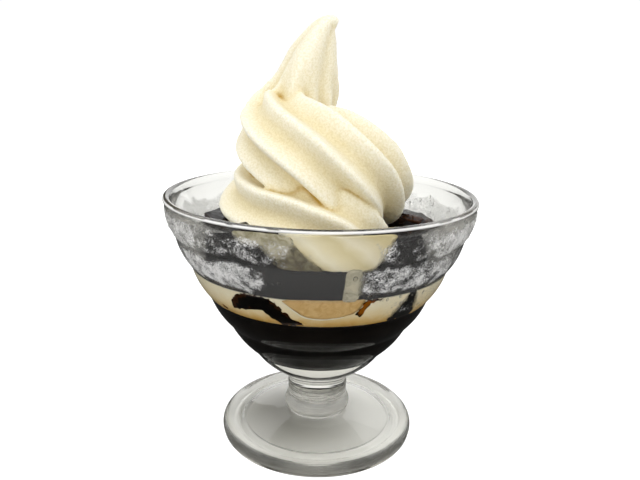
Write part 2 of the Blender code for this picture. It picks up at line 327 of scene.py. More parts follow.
# Where moisture dulls the glass: degrees low and high, height low and high in mm, softness in
# degrees, and strength.
bloomPatches = [
    (-66, -18, 76.5, 87, 8, 0.95),
    (16, 62, 77.5, 87, 7, 0.85),
    (-80, -43, 88.5, 97.5, 4, 0.9),
    (-43, -16, 89, 97.5, 4, 0.64),
    (-22, -8, 88.5, 97.5, 4, 0.7),
    (17, 27, 88.5, 97, 3, 0.62),
    (27, 40, 88, 98, 4, 0.55),
    (38, 82, 88, 98, 4, 0.9),
    (28, 60, 66, 75, 4, 0.35),
    (96, 264, 66, 92, 14, 0.6),
]
# thin even films of it: height low and high in mm, softness in mm, and strength.
# The band on the lip is a painted highlight: a strong white film that makes the rim read bright.
hazeAndHighlightBands = [
    (74.8, 88, 0.5, 0.055),
    (88, 99, 0.6, 0.04),
    # painted highlight along the lip
    (100.5, 101.5, 0.2, 0.85),
    (27, 31.5, 1, 0.22),
]
moisture = {
    "edge": 1.4,                     # mm that a patch fades over, up and down
    "wanderScale": 5.5 * mm,
    "wanderDegrees": 11,
    "wanderHeight": 2.2,             # mm
    "wanderShift": (5.3, 0, 0),
}


def bloomAt(spot):
    # the edges of the patches wander, as drying moisture does
    degrees = angleOf(spot)
    around = onRing(degrees, rimRadius, spot[2]) / moisture["wanderScale"]
    degrees += moisture["wanderDegrees"] * noise.noise(around)
    shifted = around + Vector(moisture["wanderShift"])
    height = spot[2] / mm + moisture["wanderHeight"] * noise.noise(shifted)
    most = 0.0
    for low, high, bottom, top, soft, strength in bloomPatches:
        level = strength * inside(height, bottom, top, moisture["edge"])
        for turn in (degrees, degrees + 360):
            most = max(most, level * inside(turn, low, high, soft))
    return most


def hazeAndHighlightAt(height):
    return max(strength * inside(height, low, high, soft) for low, high, soft, strength in hazeAndHighlightBands)


def glassMaterial():
    # Soda-lime glass, pressed: clear where thin, grey-olive where thick, with a grey tint on what it
    # mirrors so that the jelly behind it stays black. Moisture leaves a pale crinkled bloom on some
    # steps, and a thin even film that turns the dark jelly behind it slate grey. A strong white band
    # of the same film along the lip is a painted highlight.
    surface, tree, shader, place = startMaterial("pressedSodaLimeGlass", {
        "Base Color": "#f4f4f1",
        "IOR": 1.5,
        "Transmission Weight": 1.0,
        "Specular Tint": "#959595",
    })
    bloom, film, matt = [addNode(tree, "Attribute", {"attribute_name": name}).outputs["Fac"]
                         for name in ("bloom", "film", "matt")]
    crinkle = addNode(tree, "TexNoise",
                      {"Scale": 1 / (1.1 * mm), "Detail": 3.0, "Roughness": 0.65, "Distortion": 2.2},
                      {"Vector": place})
    patchy = addNode(tree, "TexNoise", {"Scale": 1 / (5 * mm), "Detail": 2.0}, {"Vector": place})
    both = addNode(tree, "Math", {"operation": "MULTIPLY_ADD", 1: 0.6}, {0: patchy, 2: crinkle})
    cover = addNode(tree, "Math", {"operation": "MULTIPLY_ADD", 1: 0.5}, {0: bloom, 2: both})
    speck = addNode(tree, "MapRange", {"From Min": 1.1, "From Max": 1.34, "To Max": 0.88}, {0: cover})
    share = addNode(tree, "Math", {"operation": "MAXIMUM"}, {0: speck, 1: film})

    # a faint ripple from pressing all over, and a crinkle where it is wet
    ripple = addNode(tree, "TexNoise", {"Scale": 1 / (7 * mm), "Detail": 1.0}, {"Vector": place})
    relief = addNode(tree, "Bump", {"Strength": 0.06, "Distance": 0.4 * mm}, {"Height": ripple})
    wetness = addNode(tree, "Math", {"operation": "MULTIPLY", 1: 0.9}, {0: bloom})
    dewRelief = addNode(tree, "Bump", {"Distance": 0.9 * mm},
                        {"Height": crinkle, "Strength": wetness, "Normal": relief})
    rough = addNode(tree, "MapRange", {"To Min": 0.012, "To Max": 0.4}, {0: matt})
    water = addNode(tree, "BsdfPrincipled",
                    {"Base Color": "#f8f7f5", "Roughness": 0.3, "IOR": 1.33,
                     "Transmission Weight": 0.05}, {"Normal": dewRelief})
    setNode(shader, None, {"Normal": dewRelief, "Roughness": rough})
    wet = addNode(tree, "MixShader", None, {0: share, 1: shader, 2: water})

    # light gets through to what is inside
    path = addNode(tree, "LightPath")
    clear = addNode(tree, "BsdfTransparent", {"Color": "#f2f2ef"})
    whole = addNode(tree, "MixShader", None, {0: path.outputs["Is Shadow Ray"], 1: wet, 2: clear})
    depth = addNode(tree, "VolumeAbsorption", {"Color": "#b6b3a4", "Density": 18.0})
    setNode(tree.nodes["Material Output"], None, {"Surface": whole, "Volume": depth})
    return surface


def makeGlass():
    def waver(degrees, radius, height):
        spot = onRing(degrees, radius, height) / bowl["waverScale"]
        return bowl["waver"] * noise.noise(spot) if height > foot["stemTop"] else 0.0

    mesh = turnedMesh(glassProfile(), bowl["segments"], waver)
    spots = [v.co.copy() for v in mesh.vertices]
    bloom, film = [], []
    for spot in spots:
        middle = (bowlRadius(max(spot.z, bowl["tip"])) + cavityRadius(spot.z)) / 2
        outside = math.hypot(spot.x, spot.y) > middle
        bloom.append(bloomAt(spot) if outside else 0.0)
        film.append(hazeAndHighlightAt(spot.z / mm) if outside else 0.0)
    writeAttribute(mesh, "bloom", bloom)
    writeAttribute(mesh, "film", film)
    matt = [s.z < foot["mattBelow"] and math.hypot(s.x, s.y) < foot["seatInner"] for s in spots]
    writeAttribute(mesh, "matt", [float(m) for m in matt])
    addPiece("glassBowl", mesh, glassMaterial(), "glass", "glass")


# Coffee jelly, cream, and what lies between them

def jellyMaterial():
    # Strong coffee set with agar: nearly black, smooth and wet where it was cut.
    surface, tree, shader, place = startMaterial("setCoffeeJelly", {
        "Base Color": "#0d0907",
        "Roughness": 0.08,
        "IOR": 1.36,
        "Specular IOR Level": 0.25,
    })
    wobble = addNode(tree, "TexNoise", {"Scale": 1 / (3 * mm), "Detail": 3.0}, {"Vector": place})
    relief = addNode(tree, "Bump", {"Strength": 0.7, "Distance": 1.6 * mm}, {"Height": wobble})
    # sharp edges painted brown: painted light showing through the thin jelly there
    edge = addNode(tree, "NewGeometry")
    brown = addNode(tree, "ValToRGB", {"stops": [(0.51, "#0d0907"), (0.58, "#5a2e0c")]},
                    {0: edge.outputs["Pointiness"]})
    setNode(shader, None, {"Normal": relief, "Base Color": brown})
    return surface


def pressedJellyMaterial():
    # The same jelly against the glass, with no air between, so it has next to no shine of its own.
    surface, tree, shader, place = startMaterial("jellyAgainstGlass", {
        "Base Color": "#0b0908",
        "Roughness": 0.3,
        "IOR": 1.36,
        "Specular IOR Level": 0.0,
    })
    cloud = addNode(tree, "TexNoise", {"Scale": 1 / (14 * mm), "Detail": 4.0}, {"Vector": place})
    tone = addNode(tree, "ValToRGB", {"stops": [(0.35, "#090706"), (0.75, "#15110f")]}, {0: cloud})
    setNode(shader, None, {"Base Color": tone})
    return surface


fill = {
    "intoWall": 0.2 * mm,            # how far the fillings reach into the glass, so that no gap shows
    "segments": 192,
    "jellyLevels": 24,
    "creamLevels": 12,
    "creamLift": 0.1 * mm,
    "creamLap": 0.6 * mm,            # the cream reaches this far up into the heap
    "heapLift": 0.3 * mm,
    "heapLevels": 12,
}


def fillWall(height):
    return cavityRadius(height) + fill["intoWall"]


def makeJellyBase():
    bottom = cavityBottom - fill["intoWall"]
    points = [(0.0, bottom)]
    for i in range(1, fill["jellyLevels"] + 1):
        height = bottom + (jellyLevel - bottom) * (i / fill["jellyLevels"]) ** 2
        points.append((fillWall(height + fill["intoWall"]), height))
    points += [(points[-1][0] * share, jellyLevel) for share in (0.8, 0.5, 0.2, 0.0)]
    mesh = turnedMesh(points, fill["segments"])
    addPiece("jellyBase", mesh, pressedJellyMaterial(), "coffee_jelly", "jelly_base")


def creamMaterial():
    # Poured cream that coffee has seeped into: beige, ochre where it meets the jelly, streaked.
    surface, tree, shader, place = startMaterial("pouredCream", {
        "Roughness": 0.5,
        "Specular IOR Level": 0.2,
    })
    split = addNode(tree, "SeparateXYZ", None, {0: place})
    streak = addNode(tree, "TexNoise", {"Scale": 1 / (6 * mm), "Detail": 5.0, "Distortion": 1.2},
                     {"Vector": place})
    rise = addNode(tree, "MapRange", {"From Min": jellyLevel, "From Max": creamLevel, "To Max": 0.8},
                   {0: split.outputs["Z"]})
    mixed = addNode(tree, "Math", {"operation": "MULTIPLY_ADD", 1: 0.30}, {0: streak, 2: rise})
    tone = addNode(tree, "ValToRGB", {"stops": [
        (0.12, "#c4933c"), (0.26, "#dbb56e"), (0.45, "#ead5a6"), (0.80, "#f2e8cc")]}, {0: mixed})
    setNode(shader, None, {"Base Color": tone})
    return surface


def makeCreamLayer():
    low, high = jellyLevel + fill["creamLift"], creamLevel + fill["creamLap"]
    points = [(fillWall(low) * share, low) for share in (0.0, 0.3, 0.7)]
    for i in range(fill["creamLevels"] + 1):
        height = low + (high - low) * i / fill["creamLevels"]
        points.append((fillWall(height), height))
    points += [(fillWall(high) * share, high) for share in (0.8, 0.4, 0.0)]
    mesh = turnedMesh(points, fill["segments"])
    addPiece("creamLayer", mesh, creamMaterial(), "cream", "cream_layer")


def curveWeights(t):
    # shares of four neighbouring points at t between the middle two (Catmull-Rom)
    return (-0.5 * t + t * t - 0.5 * t ** 3, 1 - 2.5 * t * t + 1.5 * t ** 3,
            0.5 * t + 2 * t * t - 1.5 * t ** 3, -0.5 * t * t + 0.5 * t ** 3)


def smoothCurve(points, steps, closed):
    # a smooth curve through the points, round again to the first one if it is closed
    count = len(points)
    curve = []
    for k in range(count if closed else count - 1):
        around = [k - 1, k, k + 1, k + 2]
        near = [points[n % count if closed else min(max(n, 0), count - 1)] for n in around]
        for i in range(steps):
            weights = curveWeights(i / steps)
            curve.append([sum(n * w for n, w in zip(part, weights)) for part in zip(*near)])
    return curve if closed else curve + [points[-1]]


patch = {
    "steps": 8,                      # points on the curve for each point of an outline
    "rings": 9,
    "wobbleScale": 0.9,
    "chunkProud": 0.35 * mm,         # how far a piece reaches into the glass
    "chunkWobble": 1.1,              # degrees or mm
    "filmProud": 0.28 * mm,
    "filmWobble": 0.3,
}


def wallPatch(outline, depth, proud, wobble):
    # A piece pressed flat on the inside of the glass. The outline is in degrees and mm of height,
    # and must be seen whole from its middle.
    curve = [Vector(spot) for spot in smoothCurve(outline, patch["steps"], True)]
    middle = sum(curve, Vector((0, 0))) / len(curve)
    places, share, faces = [], [], []

    def put(spot, s, shift):
        height = spot[1] * mm
        places.append(onRing(spot[0], cavityRadius(height) + shift, height))
        share.append(s)
        return len(places) - 1

    def shape(s, i):
        spot = middle + (curve[i] - middle) * s
        spread = [part * patch["wobbleScale"] for part in spot]
        push = noise.noise_vector(Vector((*spread, 3.7))) * wobble * s
        return spot + push.xy

    size, rings = len(curve), patch["rings"]
    front = [[put(middle, 0, proud)]]
    back = [[put(middle, 0, -depth)]]
    for r in range(1, rings + 1):
        s = r / rings
        front.append([put(shape(s, i), s, proud) for i in range(size)])
        if r < rings:
            back.append([put(shape(s, i), s, -depth * math.sqrt(1 - s * s)) for i in range(size)])
    back.append(front[-1])
    for layer in (front, back):
        faces += fan(layer[0][0], layer[1])
        for inner, outer in zip(layer[1:], layer[2:]):
            faces += band(inner, outer)
    mesh = meshFrom(places, faces)
    writeAttribute(mesh, "rim", share)
    return mesh


def chunkMaterial(name, middle, rim, start):
    # Jelly through glass: light gets through the thin edges, so they show amber brown.
    surface, tree, shader, place = startMaterial(name, {"Roughness": 0.3, "Specular IOR Level": 0.0})
    edge = addNode(tree, "Attribute", {"attribute_name": "rim"})
    fleck = addNode(tree, "TexNoise", {"Scale": 1 / (1.6 * mm), "Detail": 4.0}, {"Vector": place})
    total = addNode(tree, "Math", {"operation": "MULTIPLY_ADD", 1: 0.35},
                    {0: fleck, 2: edge.outputs["Fac"]})
    tone = addNode(tree, "ValToRGB", {"stops": [(0.0, middle), (start, middle), (1.0, rim)]},
                   {0: total})
    setNode(shader, None, {"Base Color": tone})
    return surface


# outline in degrees and mm of height, thickness in mm, colours of middle and rim, and where the
# rim's colour starts
chunks = {
    "jellyChunkLeft": (
        [(-42, 68.8), (-38, 72.6), (-33, 74.6), (-27, 75.2), (-21, 74.6), (-17.5, 72), (-12, 67.9),
         (-7, 65.2), (-8.5, 64.2), (-17, 64.3), (-21, 66.8), (-26, 69), (-31, 69.2), (-36, 68)],
        3.0, "#080605", "#2c1606", 0.98),
    "jellyWedgeRight": (
        [(42.5, 76.6), (40, 73.5), (36, 68.5), (34, 64.6), (42, 63.8), (50, 64.4), (47, 71)],
        3.0, "#0a0908", "#1c1612", 0.80),
    "jellyChipBrown": (
        [(-52, 66.2), (-49, 66.9), (-47.5, 65.6), (-50, 65.0)],
        1.0, "#5c3a16", "#7a5120", 0.6),
    "jellyChipAmber": (
        [(16.2, 68.8), (17.2, 71.5), (19.5, 74.8), (22.5, 75.2), (24.5, 74.6), (21.5, 72.6),
         (19.8, 70), (18.2, 68.2)],
        0.8, "#8a4d08", "#120a04", 0.8),
    "jellyLensBlack": (
        [(22.2, 74.6), (23.6, 75.2), (26.6, 74.4), (27.2, 73.6), (24.6, 74.0)],
        0.9, "#0c0a08", "#5a3614", 0.8),
}


def milkAndShadeMaterial(name, dark, pale):
    # Coffee and cream run together: a soft tan film with paler drips. Made dark, the same film also
    # serves as painted shade of the soft-serve behind the glass.
    surface, tree, shader, place = startMaterial(name, {"Roughness": 0.4, "Specular IOR Level": 0.2})
    drip = addNode(tree, "TexNoise", {"Scale": 1 / (3.2 * mm), "Detail": 4.0, "Distortion": 1.5},
                   {"Vector": place})
    tone = addNode(tree, "ValToRGB", {"stops": [(0.40, dark), (0.62, pale)]}, {0: drip})
    setNode(shader, None, {"Base Color": tone})
    return surface


# outline, thickness in mm, darker and paler colour, and the slot they belong to
films = {
    "milkyCoffee": (
        [(-15, 74.2), (-10.5, 70.8), (-6, 68.6), (2, 67.8), (10.7, 68.8), (16.5, 70.6), (18.5, 75.4),
         (8, 75.9), (-6, 75.9)],
        0.4, "#cca468", "#dcba80", "cream"),
    "creamRun": (
        [(9.6, 75.2), (9.2, 80), (9.9, 87.6), (14.6, 87.4), (15.2, 81), (14.8, 75.2)],
        0.6, "#aca690", "#cbc4ac", "cream"),
    # partly the swirl behind frost, partly painted shade: soft-serve made grey-beige as if in shade
    "softServeFrostedShade": (
        [(-27.5, 98.9), (-26, 95.6), (-19, 94.8), (-14.5, 91.4), (-9, 93.4), (-10, 98.9)],
        0.6, "#a09878", "#cfc8b0", "soft_serve"),
    # painted shadow: the swirl's underside in shade, as a dark olive sheet on the glass
    "softServeShade": (
        [(-15, 92.4), (-12.6, 87.6), (-4, 87.4), (2, 87.6), (-4, 92), (-8.5, 95.5)],
        0.5, "#5a5340", "#7d745a", "soft_serve"),
}
# where the foot of the swirl is pressed on the glass
smear = {
    "outline": [(-10.5, 99.2), (-8.5, 96), (-5, 92.5), (0, 89), (3, 87.4), (10, 87), (17.5, 87.2),
                (20.5, 90), (23, 95), (23.5, 99.2), (7, 99.5)],
    "depth": 0.9 * mm,
    "slant": 1.25,                   # mm sideways for each mm down
    "waver": 5 * mm,
    "stripeStart": 110 * mm,
    "stripeEnd": 142 * mm,
}
# the pale edge of the milky coffee
creamEdge = {
    "line": [(-15.2, 73.8), (-10.5, 70.6), (-6.3, 68.4), (0, 67.6), (6, 67.9), (11, 68.5)],
    "width": 0.55 * mm,
    "depth": 0.3 * mm,
    "proud": 0.45 * mm,
    "sides": 8,
    "thinEnd": 0.15,
    "taper": 0.4,
}


def smearRidgeLightMaterial():
    # Soft-serve flattened on the glass. Its surface is flat, so the ridges of the rope are painted on as
    # slanting stripes: painted highlights on the crests and painted shade between them, darkest on the
    # left.
    surface, tree, shader, place = startMaterial("softServeOnGlassPaintedRidges", {
        "Roughness": 0.5,
        "Specular IOR Level": 0.2,
    })
    split = addNode(tree, "SeparateXYZ", None, {0: place})
    waver = addNode(tree, "TexNoise", {"Scale": 1 / (5 * mm), "Detail": 3.0}, {"Vector": place})
    slant = addNode(tree, "Math", {"operation": "MULTIPLY_ADD", 1: smear["slant"]},
                    {0: split.outputs["Z"], 2: split.outputs["X"]})
    bent = addNode(tree, "Math", {"operation": "MULTIPLY_ADD", 1: smear["waver"]}, {0: waver, 2: slant})
    across = addNode(tree, "MapRange", {"From Min": smear["stripeStart"], "From Max": smear["stripeEnd"]},
                     {0: bent})
    # painted ridge highlights and painted shade, in stripes across the slant
    tone = addNode(tree, "ValToRGB", {"stops": [
        (0.0, "#a99c74"), (0.14, "#d9cb9f"), (0.28, "#f8f0d6"), (0.42, "#efe3bd"),
        (0.56, "#e0d2a4"), (0.72, "#f3ead0"), (1.0, "#dccd9e")]}, {0: across})
    setNode(shader, None, {"Base Color": tone})
    return surface


def tubeMesh(places, sides):
    # skins rings of points, one after another, and closes both ends
    last = len(places) - sides
    faces = []
    for start in range(0, last, sides):
        for j in range(sides):
            k = (j + 1) % sides
            faces.append((start + j, start + k, start + sides + k, start + sides + j))
    faces.append(tuple(range(sides)))
    faces.append(tuple(range(last, last + sides)))
    return meshFrom(places, faces)


def wallRibbon(run):
    # a thin run along the inside of the glass
    def onWall(spot):
        return onRing(spot[0], cavityRadius(spot[1] * mm), spot[1] * mm)

    line = smoothCurve(run["line"], patch["steps"], False)
    places = []
    for i, spot in enumerate(line):
        fade = max(run["thinEnd"], math.sin(math.pi * (i + 0.5) / len(line)) ** run["taper"])
        out = onRing(spot[0], 1.0, 0.0)
        centre = onWall(spot) + out * (run["proud"] - run["depth"] / 2)
        along = (onWall(line[min(i + 1, len(line) - 1)]) - onWall(line[max(i - 1, 0)])).normalized()
        out = (out - along * out.dot(along)).normalized()
        across = along.cross(out)
        for j in range(run["sides"]):
            a = 2 * math.pi * j / run["sides"]
            places.append(centre + across * math.cos(a) * run["width"] / 2 * fade
                          + out * math.sin(a) * run["depth"] / 2)
    return tubeMesh(places, run["sides"])


def makeWallPieces():
    for name, (outline, depth, middle, rim, start) in chunks.items():
        mesh = wallPatch(outline, depth * mm, patch["chunkProud"], patch["chunkWobble"])
        addPiece(name, mesh, chunkMaterial(name + "Jelly", middle, rim, start), "coffee_jelly")
    for name, (outline, depth, dark, pale, slotName) in films.items():
        mesh = wallPatch(outline, depth * mm, patch["filmProud"], patch["filmWobble"])
        addPiece(name, mesh, milkAndShadeMaterial(name + "Film", dark, pale), slotName)
    edge = wallRibbon(creamEdge)
    addPiece("creamEdge", edge, milkAndShadeMaterial("creamEdgeFilm", "#e6dfc8", "#f2ecd8"), "cream")
    mesh = wallPatch(smear["outline"], smear["depth"], patch["filmProud"], patch["filmWobble"])
    addPiece("softServeSmear", mesh, smearRidgeLightMaterial(), "soft_serve")


# The heap of cut jelly

heap = {
    "coreTop": 83.0 * mm,
    "coreRoughness": 2.2 * mm,
    "coreScale": 7 * mm,
    "coreFade": 8,                   # the roughness dies out towards the glass
    "bankSlope": 6,                  # over 1 keeps the banks close to the glass
    "onWall": 0.999,                 # share of the radius from which a point is on the glass
    "rounding": 0.7 * mm,
    "wobble": 0.35 * mm,
    "wobbleScale": 4 * mm,
    # degrees from the front, and how high in mm the jelly stands against the glass there
    "shore": [(-180, 81.8), (-49, 82), (-44.5, 88), (-41.5, 95), (-30, 97.5), (-24, 95.5), (-18.5, 94.5),
              (-14, 91), (-12, 87.5), (-10, 86.8), (17, 86.8), (20.5, 89), (22.5, 97), (34, 97.5),
              (38, 93), (43, 86), (48, 82), (180, 81.8)],
}
# centre x, y, z in mm, size in mm, tumble in degrees
cubes = [
    (-37, -13, 84.6, 11, (8, 12, 60)),
    (-43, -8, 82, 9.5, (-14, 6, 20)),
    (-30, -24, 83.4, 11, (10, -8, 48)),
    (-36, -22, 81, 10, (20, 10, 80)),
    (-33, 12, 84, 11.5, (-10, 14, 15)),
    (-42, 14, 82.4, 10, (6, -12, 65)),
    (-24, 30, 83.6, 11, (14, 8, 30)),
    (-34, 26, 82.2, 10.5, (-8, -10, 75)),
    (-10, 38, 83.8, 11.5, (9, 15, 10)),
    (-18, 42, 81, 10, (-12, 6, 55)),
    (4, 42, 82.6, 11, (11, -14, 40)),
    (18, 38, 84, 11.5, (-9, 10, 70)),
    (28, 30, 82.8, 10.5, (13, -7, 25)),
    (36, 20, 83.8, 11.5, (7, 13, 50)),
    (43, 10, 81.8, 10, (-15, 8, 12)),
    (44, -4, 83, 10, (10, -11, 85)),
    (34, -12, 83.8, 11.5, (-7, 9, 35)),
    (40, -16, 82, 10, (12, 12, 62)),
    (31, -25, 83, 11, (9, -6, 18)),
    (24, -33, 81.6, 10, (-11, 7, 44)),
    (-22, -34, 81.8, 10.5, (8, 9, 28)),
    (-27, -36, 90.2, 10, (12, -8, 30)),
    (-19.5, -40.5, 91.2, 9.5, (-10, 14, 65)),
    (-15, -43.5, 86.6, 8.5, (8, 10, 15)),
    (-32, -28, 88.6, 10, (-14, 9, 50)),
    (20.5, -42, 90.6, 9.5, (10, -12, 20)),
    (27.5, -36.5, 91, 10, (-8, 12, 55)),
    (34, -29, 88.4, 10, (14, 8, 75)),
]
# the two loose ones: node, size and centre in mm, tumble, rounding and wobble in mm
looseBlocks = {
    "jellyCubeLeft": ("jelly_cube_left", (10.5, 11, 12), (-38.5, 1, 85.8), (12, -9, 36), 0.6, 0.3),
    "jellyLumpRight": ("jelly_lump_right", (17, 13, 12), (34.5, 3, 86.6), (-8, 10, -24), 2.4, 1.6),
}


def roundedBlock(size, centre, tumble, rounding, wobble, seed):
    mesh = bpy.data.meshes.new("block")
    turn = Euler([math.radians(t) for t in tumble]).to_matrix()
    with editing(mesh) as shape:
        bmesh.ops.create_cube(shape, size=1)
        for v in shape.verts:
            v.co = Vector([c * s for c, s in zip(v.co, size)])
        bmesh.ops.bevel(shape, geom=shape.edges[:], offset=rounding, segments=3, profile=0.6,
                        affect="EDGES")
        bmesh.ops.subdivide_edges(shape, edges=shape.edges[:], cuts=2, use_grid_fill=True)
        for v in shape.verts:
            spot = v.co / heap["wobbleScale"] + Vector((seed * 3.1, 0, 0))
            v.co = turn @ (v.co + noise.noise_vector(spot) * wobble) + centre
    return mesh


def joinMeshes(meshes):
    joined = bpy.data.meshes.new("joined")
    with editing(joined) as shape:
        for mesh in meshes:
            shape.from_mesh(mesh)
            bpy.data.meshes.remove(mesh)
    return joined


def shoreAt(degrees):
    for (left, low), (right, high) in zip(heap["shore"], heap["shore"][1:]):
        if left <= degrees <= right:
            return (low + (high - low) * (degrees - left) / (right - left)) * mm


def makeHeap():
    wet = jellyMaterial()
    low = creamLevel + fill["heapLift"]
    steps = fill["heapLevels"]
    # share of the radius and level: 0 at the foot of the heap, up to 1 along the glass and on top
    points = [(0.0, 0.0), (0.6, 0.0)] + [(1.0, i / steps) for i in range(steps + 1)]
    points += [(share, 1.0) for share in (0.97, 0.93, 0.89, 0.85, 0.8, 0.75, 0.65, 0.5, 0.35, 0.2, 0.0)]
    mesh = turnedMesh(points, fill["segments"])
    for v in mesh.vertices:
        share, level = math.hypot(v.co.x, v.co.y), v.co.z
        shore = shoreAt(angleOf(v.co))
        flat = Vector((v.co.x, v.co.y, 0))
        if share > heap["onWall"]:
            height = low + (shore - low) * level
            reach = fillWall(height)
        elif level < 0.5:
            height, reach = low, share * fillWall(low)
        else:
            reach = share * fillWall(shore)
            height = heap["coreTop"] + (shore - heap["coreTop"]) * share ** heap["bankSlope"]
            lump = noise.noise(flat * fillWall(shore) / heap["coreScale"])
            height += heap["coreRoughness"] * lump * (1 - share ** heap["coreFade"])
        v.co = flat * (reach / max(share, 1e-6)) + Vector((0, 0, height))
    addPiece("jellyHeapCore", mesh, pressedJellyMaterial(), "coffee_jelly", "jelly_heap")

    blocks = []
    for i, (x, y, z, size, tumble) in enumerate(cubes):
        centre = Vector((x, y, z)) * mm
        blocks.append(roundedBlock([size * mm] * 3, centre, tumble, heap["rounding"], heap["wobble"], i))
    pile = joinMeshes(blocks)
    for v in pile.vertices:              # cubes that meet the glass lie flat against it
        radius = math.hypot(v.co.x, v.co.y)
        if radius > fillWall(v.co.z):
            v.co.xy *= fillWall(v.co.z) / radius
    addPiece("jellyCubes", pile, wet, "coffee_jelly", "jelly_heap")

    for name, (node, size, centre, tumble, rounding, wobble) in looseBlocks.items():
        size, centre = [s * mm for s in size], Vector(centre) * mm
        mesh = roundedBlock(size, centre, tumble, rounding * mm, wobble * mm, 5)
        addPiece(name, mesh, wet, "coffee_jelly", node)


# The soft-serve swirl

swirl = {
    "lobes": 9,
    "lobeDepth": 0.30,
    "lobeMean": 0.42,
    "crest": 1.25,                   # over 1 makes the ridges narrow and the hollows wide
    "lean": 0.15,                    # how far the ridges lean over to one side
    "peakShare": 0.05,               # how much of the nozzle's ridges is left on the drawn-out peak
    "peakFrom": 8.5 * mm,            # rope radius up to which it counts as peak
    "peakTo": 15.0 * mm,
    "peakRidges": 3,                 # the peak has soft ridges of its own
    "peakRidge": 0.19,
    "peakTurn": 12,
    "bend": 0.92,                    # the inside of a bend reaches this far towards its centre
    "bendSpan": 8,
    "blend": (-5.5, -7.0, 135.0, 16.5),   # x, y, z and radius in mm of where the peak sinks into the coil
    "core": (-3.0, 26.0, 7.0, 131.0),     # x, lower and upper radius and top in mm of the inside
    "coreSink": 3 * mm,              # the core starts this far under the cut
    "steps": 32,                     # rings from one station to the next
    "sides": 200,
    "voxel": 0.55 * mm,
    "relaxTurns": 4,
    "meltTurns": 30,
    "evenTurns": 90,
    "hollowStart": 0.42,
    "hollowGain": 0.75,              # for each mm under the smoothed surface
    "grain": 0.1 * mm,               # crystals standing out, coarser than real ones so that they show
    "grainScale": 1.0 * mm,
    # centre x, y, z and radius of the piped rope in mm, and the turn of its ridges in degrees, tip first
    "stations": [
        (4.8, 0, 162.9, 1.5, 14), (2.6, 0, 163.7, 2.7, 14), (-0.4, 0, 160.6, 4.9, 14),
        (-4, 0.5, 152.5, 8.3, 14), (-6, 2, 146, 10.3, 14), (-7.8, 5, 138.5, 12.4, 12),
        (-11, 7, 131.5, 13.6, 8), (-14.4, 2.5, 125.5, 14.6, 7), (-12.5, -8, 121, 16.4, 7),
        (-1, -14.5, 116, 17.6, 22), (10, -12.5, 110.5, 17.4, 50), (16.5, -1, 105, 16.2, 92),
        (13.5, 13, 101.5, 15.8, 128), (0, 18.5, 99.5, 16.2, 158), (-13, 13.5, 97.5, 16.8, 186),
        (-19.5, 0, 95.5, 16.8, 212), (-15, -13, 94, 16.8, 216), (-4, -21.5, 92, 16.8, 214),
        (5, -22, 88.5, 16.6, 218), (11.5, -19, 82, 15, 226), (15, -15, 74, 12, 232)],
}


def starShape(angle, turn, radius):
    phase = swirl["lobes"] * (angle - turn)
    wave = (0.5 + 0.5 * math.cos(phase + swirl["lean"] * math.sin(phase))) ** swirl["crest"]
    rope = smoothStep(swirl["peakFrom"], swirl["peakTo"], radius)
    depth = swirl["lobeDepth"] * (swirl["peakShare"] + (1 - swirl["peakShare"]) * rope)
    peakWave = math.cos(swirl["peakRidges"] * (angle - math.radians(swirl["peakTurn"])))
    return 1 + depth * (wave - swirl["lobeMean"]) + swirl["peakRidge"] * peakWave * (1 - rope)


def ropeMesh():
    path = smoothCurve(swirl["stations"], swirl["steps"], False)
    sides, last = swirl["sides"], len(path) - 1
    centres = [Vector(station[:3]) * mm for station in path]
    along = [(centres[min(i + 1, last)] - centres[max(i - 1, 0)]).normalized() for i in range(last + 1)]
    places = []
    side = Vector((0, -1, 0))
    for i, centre in enumerate(centres):
        radius, turn = path[i][3] * mm, math.radians(path[i][4])
        side = (side - along[i] * side.dot(along[i])).normalized()
        up = along[i].cross(side)
        before, after = max(i - swirl["bendSpan"], 0), min(i + swirl["bendSpan"], last)
        bend = (along[after] - along[before]) / (centres[after] - centres[before]).length
        inward = bend.normalized()
        room = swirl["bend"] / max(bend.length, 1e-6)
        for j in range(sides):
            angle = 2 * math.pi * j / sides
            reach = radius * starShape(angle, turn, radius)
            spot = (side * math.cos(angle) + up * math.sin(angle)) * reach
            places.append(centre + spot - inward * max(0.0, spot.dot(inward) - room))
    return tubeMesh(places, sides)


